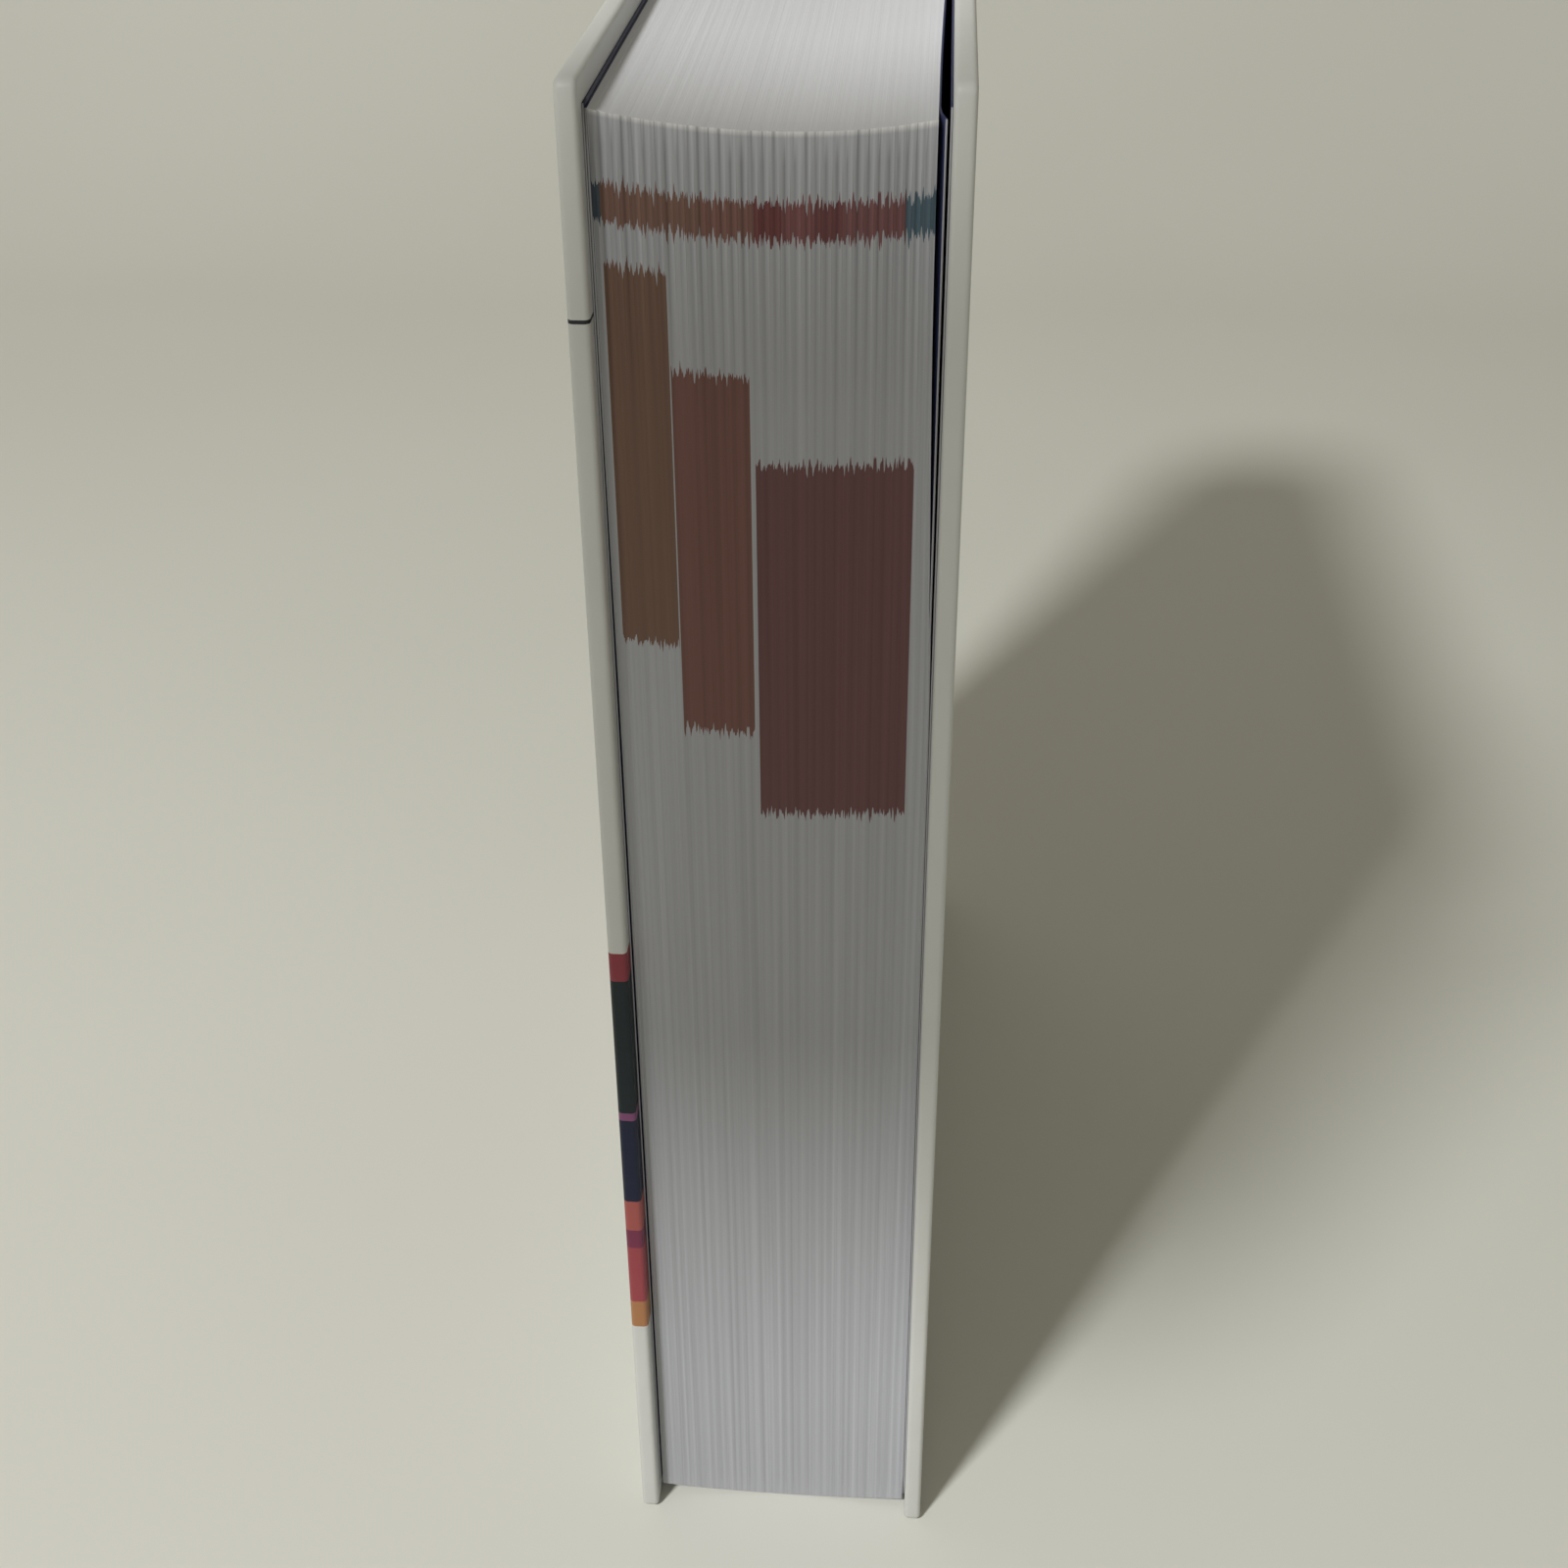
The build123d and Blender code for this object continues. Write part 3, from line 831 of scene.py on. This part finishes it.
class BOOK_OT_spine(bpy.types.Operator):
    """Make the covering paper of the spine, turned in at head and tail"""

    bl_idname = "book.spine"
    bl_label = "Spine"

    def execute(self, context):
        plan, nose_y, ridge_y = spine_plan()
        tangent = np.gradient(plan, axis=0)
        tangent /= np.linalg.norm(tangent, axis=1, keepdims=True)
        normal = np.stack([tangent[:, 1], -tangent[:, 0]], -1)
        # The turn-in lies two papers deep, and deeper by part of the card that it wraps
        over_card = smooth(plan[:, 1], nose_y, ridge_y + 0.4 * MM)
        layers = PAPER * 2 + over_card * (card_high.y - SPINE_Y) * 0.37
        radius = np.minimum(0.45 * MM, layers / 2)
        same = np.ones_like(layers)
        quarter = np.linspace(0, np.pi / 2, 4)
        rows = [(inset * same, layers) for inset in (TURN_IN, 6 * MM, 1.5 * MM)]
        rows += [(radius * (1 - np.sin(t)), layers - radius * (1 - np.cos(t))) for t in quarter]
        rows += [(radius * (1 - np.cos(t)), radius * (1 - np.sin(t))) for t in quarter]
        rows.append((1.5 * MM * same, 0 * same))
        lower = [np.concatenate([plan - normal * depth[:, None], z[:, None]], 1) for z, depth in rows]
        heights = np.linspace(4 * MM, CASE_HEIGHT - 4 * MM, 50)
        middle = [np.concatenate([plan, z * same[:, None]], 1) for z in heights]
        upper = [row * [1, 1, -1] + [0, 0, CASE_HEIGHT] for row in lower[::-1]]
        grid = np.array(lower + middle + upper)
        material = printed_material("spine_laminated_paper", context.scene.book_cover, True)
        piece = surface("spine_paper", [grid], material, sharp=60.0, thickness=PAPER * 0.9)
        face_outward(piece, (0, SPINE_Y - 2 * MM, CASE_HEIGHT / 2))
        dress(piece, "spine_case_paper", "root")
        return {"FINISHED"}


def headband_material():
    """Woven headband: cotton wound round a cord in two colours, each pass about 1.6 mm wide."""
    material, tree, shader = new_material("striped_headband")
    along = add(tree, MARK, output="Fac", attribute_name="along")
    waves = []
    for spacing in (3.2 * MM, 0.4 * MM):
        angle = add(tree, MATH, {0: along, 1: 2 * np.pi / spacing}, operation="MULTIPLY")
        waves.append(add(tree, MATH, {0: angle}, operation="SINE"))
    stripe = add(tree, MATH, {0: waves[0], 1: 0.0}, operation="GREATER_THAN")
    shown = add(tree, MIX, {0: stripe, 6: linear("E4E2DC"), 7: linear("2B3663")}, **COLOURS)
    bump = add(tree, BUMP, {"Strength": 0.6, "Distance": 0.1 * MM, "Height": waves[1]})
    finish_shader(tree, shader, shown, 0.75, bump)
    return material


def headband(node, end_z, up, material):
    """A bead of thread wound round a cord, and the tape that holds it to the spine. The bead is a
    small circle carried along the spine's arc, and swells with each winding."""
    low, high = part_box(node)
    tall = high.z - end_z if up > 0 else end_z - low.z
    bead = tall / 2
    tape = high.y - SPINE_Y
    ring = SPINE_RADIUS + tape - bead
    reach = np.arcsin(high.x * 0.995 / (SPINE_RADIUS + tape))
    turn = np.linspace(-reach, reach, 420)[:, None]
    lap = np.linspace(0, 2 * np.pi, 17)[None, :]
    winding = 0.8 * MM
    along = turn * SPINE_RADIUS
    swell = bead * (1 + 0.035 * np.sin(along * 2 * np.pi / winding) - 0.035)
    swell[[0, -1]] *= 0.02
    distance = ring + swell * np.cos(lap)
    z = end_z + up * (bead + swell * np.sin(lap))
    grid = points(distance * np.sin(turn), SPINE_CENTRE_Y + distance * np.cos(turn), z)
    marks = {"along": np.repeat(along, lap.size)}
    piece = surface(node + "_bead", [grid], material, sharp=80.0, marks=marks)
    dress(piece, node, "root")

    turn = np.linspace(-reach, reach, 22)[:, None]
    outer = SPINE_RADIUS + tape * 0.9
    z = end_z + up * np.array([1.0, -11.0])[None, :] * MM
    grid = points(outer * np.sin(turn), SPINE_CENTRE_Y + outer * np.cos(turn), z)
    marks = {"along": np.repeat(turn * SPINE_RADIUS, z.size)}
    piece = surface(node + "_tape", [grid], material, sharp=80.0, thickness=tape * 0.7, marks=marks)
    dress(piece, node, "root")


class BOOK_OT_headbands(bpy.types.Operator):
    """Make the striped headband and tailband over the ends of the spine"""

    bl_idname = "book.headbands"
    bl_label = "Headbands"

    def execute(self, context):
        material = headband_material()
        headband("headband", HEAD_Z, 1.0, material)
        headband("tailband", TAIL_Z, -1.0, material)
        return {"FINISHED"}


def board_material(name, hex_colour, fleck):
    """Pressed fibre board or kraft paper: dull, flecked with fibres about 1 mm long."""
    material, tree, shader = new_material(name)
    place = add(tree, "ShaderNodeTexCoord", output="Object")
    fibre = add(tree, NOISE, {"Vector": place, "Scale": 1100.0, "Detail": 5.0})
    tone = add(tree, RANGE, {0: fibre, 1: 0.3, 2: 0.7})
    shown = add(tree, MIX, {0: tone, 6: linear(fleck), 7: linear(hex_colour)}, **COLOURS)
    bump = add(tree, BUMP, {"Strength": 0.4, "Distance": 0.08 * MM, "Height": fibre})
    finish_shader(tree, shader, shown, 0.88, bump)
    return material


class BOOK_OT_inner_layers(bpy.types.Operator):
    """Finish the solids that stay: boards, spine card, lining and mull"""

    bl_idname = "book.inner_layers"
    bl_label = "Inner layers"

    def execute(self, context):
        grey = board_material("grey_board", "8C8A84", "6A6862")
        kraft = board_material("kraft_paper", "A07F5B", "7C5F40")
        cotton = board_material("mull_cotton", "CFC9B8", "A8A292")
        finishes = {
            "front_board": grey,
            "back_board": grey,
            "spine_inlay": grey,
            "spine_lining": kraft,
            "spine_mull": cotton,
        }
        for node, material in finishes.items():
            solid = frame["nodes"][node]
            solid.data.materials.clear()
            solid.data.materials.append(material)
        return {"FINISHED"}


def stage_material():
    """Plain pale cloth-covered stage: matt, with a trace of tone so that it isn't flat."""
    material, tree, shader = new_material("pale_stage")
    place = add(tree, "ShaderNodeTexCoord", output="Object")
    cloud = add(tree, NOISE, {"Vector": place, "Scale": 3.0, "Detail": 2.0})
    shown = add(tree, MIX, {0: cloud, 6: linear("D2D3CB"), 7: linear("DCDDD6")}, **COLOURS)
    tree.links.new(shown, shader.inputs["Base Color"])
    shader.inputs["Roughness"].default_value = 0.9
    return material


def sweep_floor():
    """The floor: a plan line that runs back from the book and sweeps up, carried sideways."""
    back_y, sweep_radius, wall_top = 0.6, 0.4, 3.0
    turn = np.linspace(0, np.pi / 2, 24)
    run = [(-3.0, 0.0), (-0.6, 0.0), (0.0, 0.0), (back_y, 0.0)]
    run += list(zip(back_y + sweep_radius * np.sin(turn), sweep_radius * (1 - np.cos(turn))))
    run.append((back_y + sweep_radius, wall_top))
    y, z = np.array(run).T
    grid = points(np.linspace(-4, 4, 9)[None, :], y[:, None], z[:, None])
    surface("floor", [grid], stage_material(), sharp=80.0)


def aim_camera(scene, settings):
    """The camera: a level direction turned by yaw, tipped down by pitch and then rolled."""
    pitch, yaw, roll = settings.pitch, settings.yaw, settings.roll
    forward = Vector((np.sin(yaw) * np.cos(pitch), np.cos(yaw) * np.cos(pitch), -np.sin(pitch)))
    level = Vector((np.cos(yaw), -np.sin(yaw), 0))
    upright = level.cross(forward)
    right = level * np.cos(roll) + upright * np.sin(roll)
    top = upright * np.cos(roll) - level * np.sin(roll)
    lens = bpy.data.cameras.new("camera")
    lens.sensor_width = 36.0
    lens.sensor_fit = "HORIZONTAL"
    lens.lens = settings.lens
    lens.clip_start = 0.01
    camera = bpy.data.objects.new("camera", lens)
    axes = Matrix((right, top, -forward)).transposed().to_4x4()
    camera.matrix_world = Matrix.Translation(settings.place) @ axes
    scene.collection.objects.link(camera)
    scene.camera = camera


def hang_key(scene, settings):
    """The key light, and a dark card out of the camera's sight that keeps it off the upper fore
    edge: a rectangle over the fore edge, moved part of the way to the lamp."""
    key = bpy.data.lights.new("key", "AREA")
    key.shape = "DISK"
    key.size = 0.24
    key.energy = settings.key
    key.color = linear("FFFEFC")[:3]
    lamp = bpy.data.objects.new("key", key)
    toward = Vector((-0.35, -0.63, 0.69)).normalized()
    distance = 2.0
    lamp.location = Vector((0, 0, 0.12)) + toward * distance
    lamp.rotation_euler = toward.to_track_quat("Z", "Y").to_euler()
    scene.collection.objects.link(lamp)

    nearness = 0.19
    wide = 1.6 * case_high.x
    grid = np.empty((2, 2, 3))
    for row, x in enumerate((-wide, wide)):
        for column, z in enumerate((85 * MM, CASE_HEIGHT + 8 * MM)):
            grid[row, column] = Vector((x, case_low.y, z)).lerp(lamp.location, nearness)
    card, _, shader = new_material("dull_black_card")
    shader.inputs["Base Color"].default_value = linear("202020")
    shader.inputs["Roughness"].default_value = 0.95
    flag = surface("flag", [grid], card)
    flag.visible_camera = False
    flag.visible_glossy = False


def light_sky(scene, settings):
    """The even fill light from all around."""
    world = bpy.data.worlds.new("even_sky")
    world.use_nodes = True
    sky = world.node_tree.nodes["Background"]
    sky.inputs["Color"].default_value = linear("FFF5E0")
    sky.inputs["Strength"].default_value = settings.fill
    scene.world = world


class BOOK_OT_stage(bpy.types.Operator):
    """Set up the pale floor with its swept-up back, the soft light and the camera"""

    bl_idname = "book.stage"
    bl_label = "Stage"

    def execute(self, context):
        scene = context.scene
        settings = scene.book_stage
        sweep_floor()
        aim_camera(scene, settings)
        hang_key(scene, settings)
        light_sky(scene, settings)
        scene.view_settings.view_transform = "Standard"
        return {"FINISHED"}


class VIEW3D_PT_book(bpy.types.Panel):
    """Lists the book's pieces and their settings"""

    bl_label = "Textbook"
    bl_space_type = "VIEW_3D"
    bl_region_type = "UI"
    bl_category = "Textbook"

    def draw(self, context):
        for operator in operators:
            self.layout.operator(operator.bl_idname)
        for group in groups:
            settings = getattr(context.scene, group)
            for name in settings.bl_rna.properties.keys():
                if name not in ("rna_type", "name"):
                    self.layout.prop(settings, name)


operators = (
    BOOK_OT_stage,
    BOOK_OT_pages,
    BOOK_OT_endpapers,
    BOOK_OT_covers,
    BOOK_OT_spine,
    BOOK_OT_headbands,
    BOOK_OT_inner_layers,
)
groups = {"book_pages": PageSettings, "book_cover": CoverSettings, "book_stage": StageSettings}


def register():
    """Registers the classes and hangs the settings on the scene."""
    for kind in (*groups.values(), *operators, VIEW3D_PT_book):
        bpy.utils.register_class(kind)
    for name, kind in groups.items():
        setattr(bpy.types.Scene, name, PointerProperty(type=kind))


def unregister():
    """Takes the settings and the classes away again."""
    for name in groups:
        delattr(bpy.types.Scene, name)
    for kind in (VIEW3D_PT_book, *operators[::-1], *groups.values()):
        bpy.utils.unregister_class(kind)


def main():
    """Makes every piece."""
    register()
    for operator in operators:
        family, name = operator.bl_idname.split(".")
        getattr(getattr(bpy.ops, family), name)()


if __name__ == "__main__":
    main()
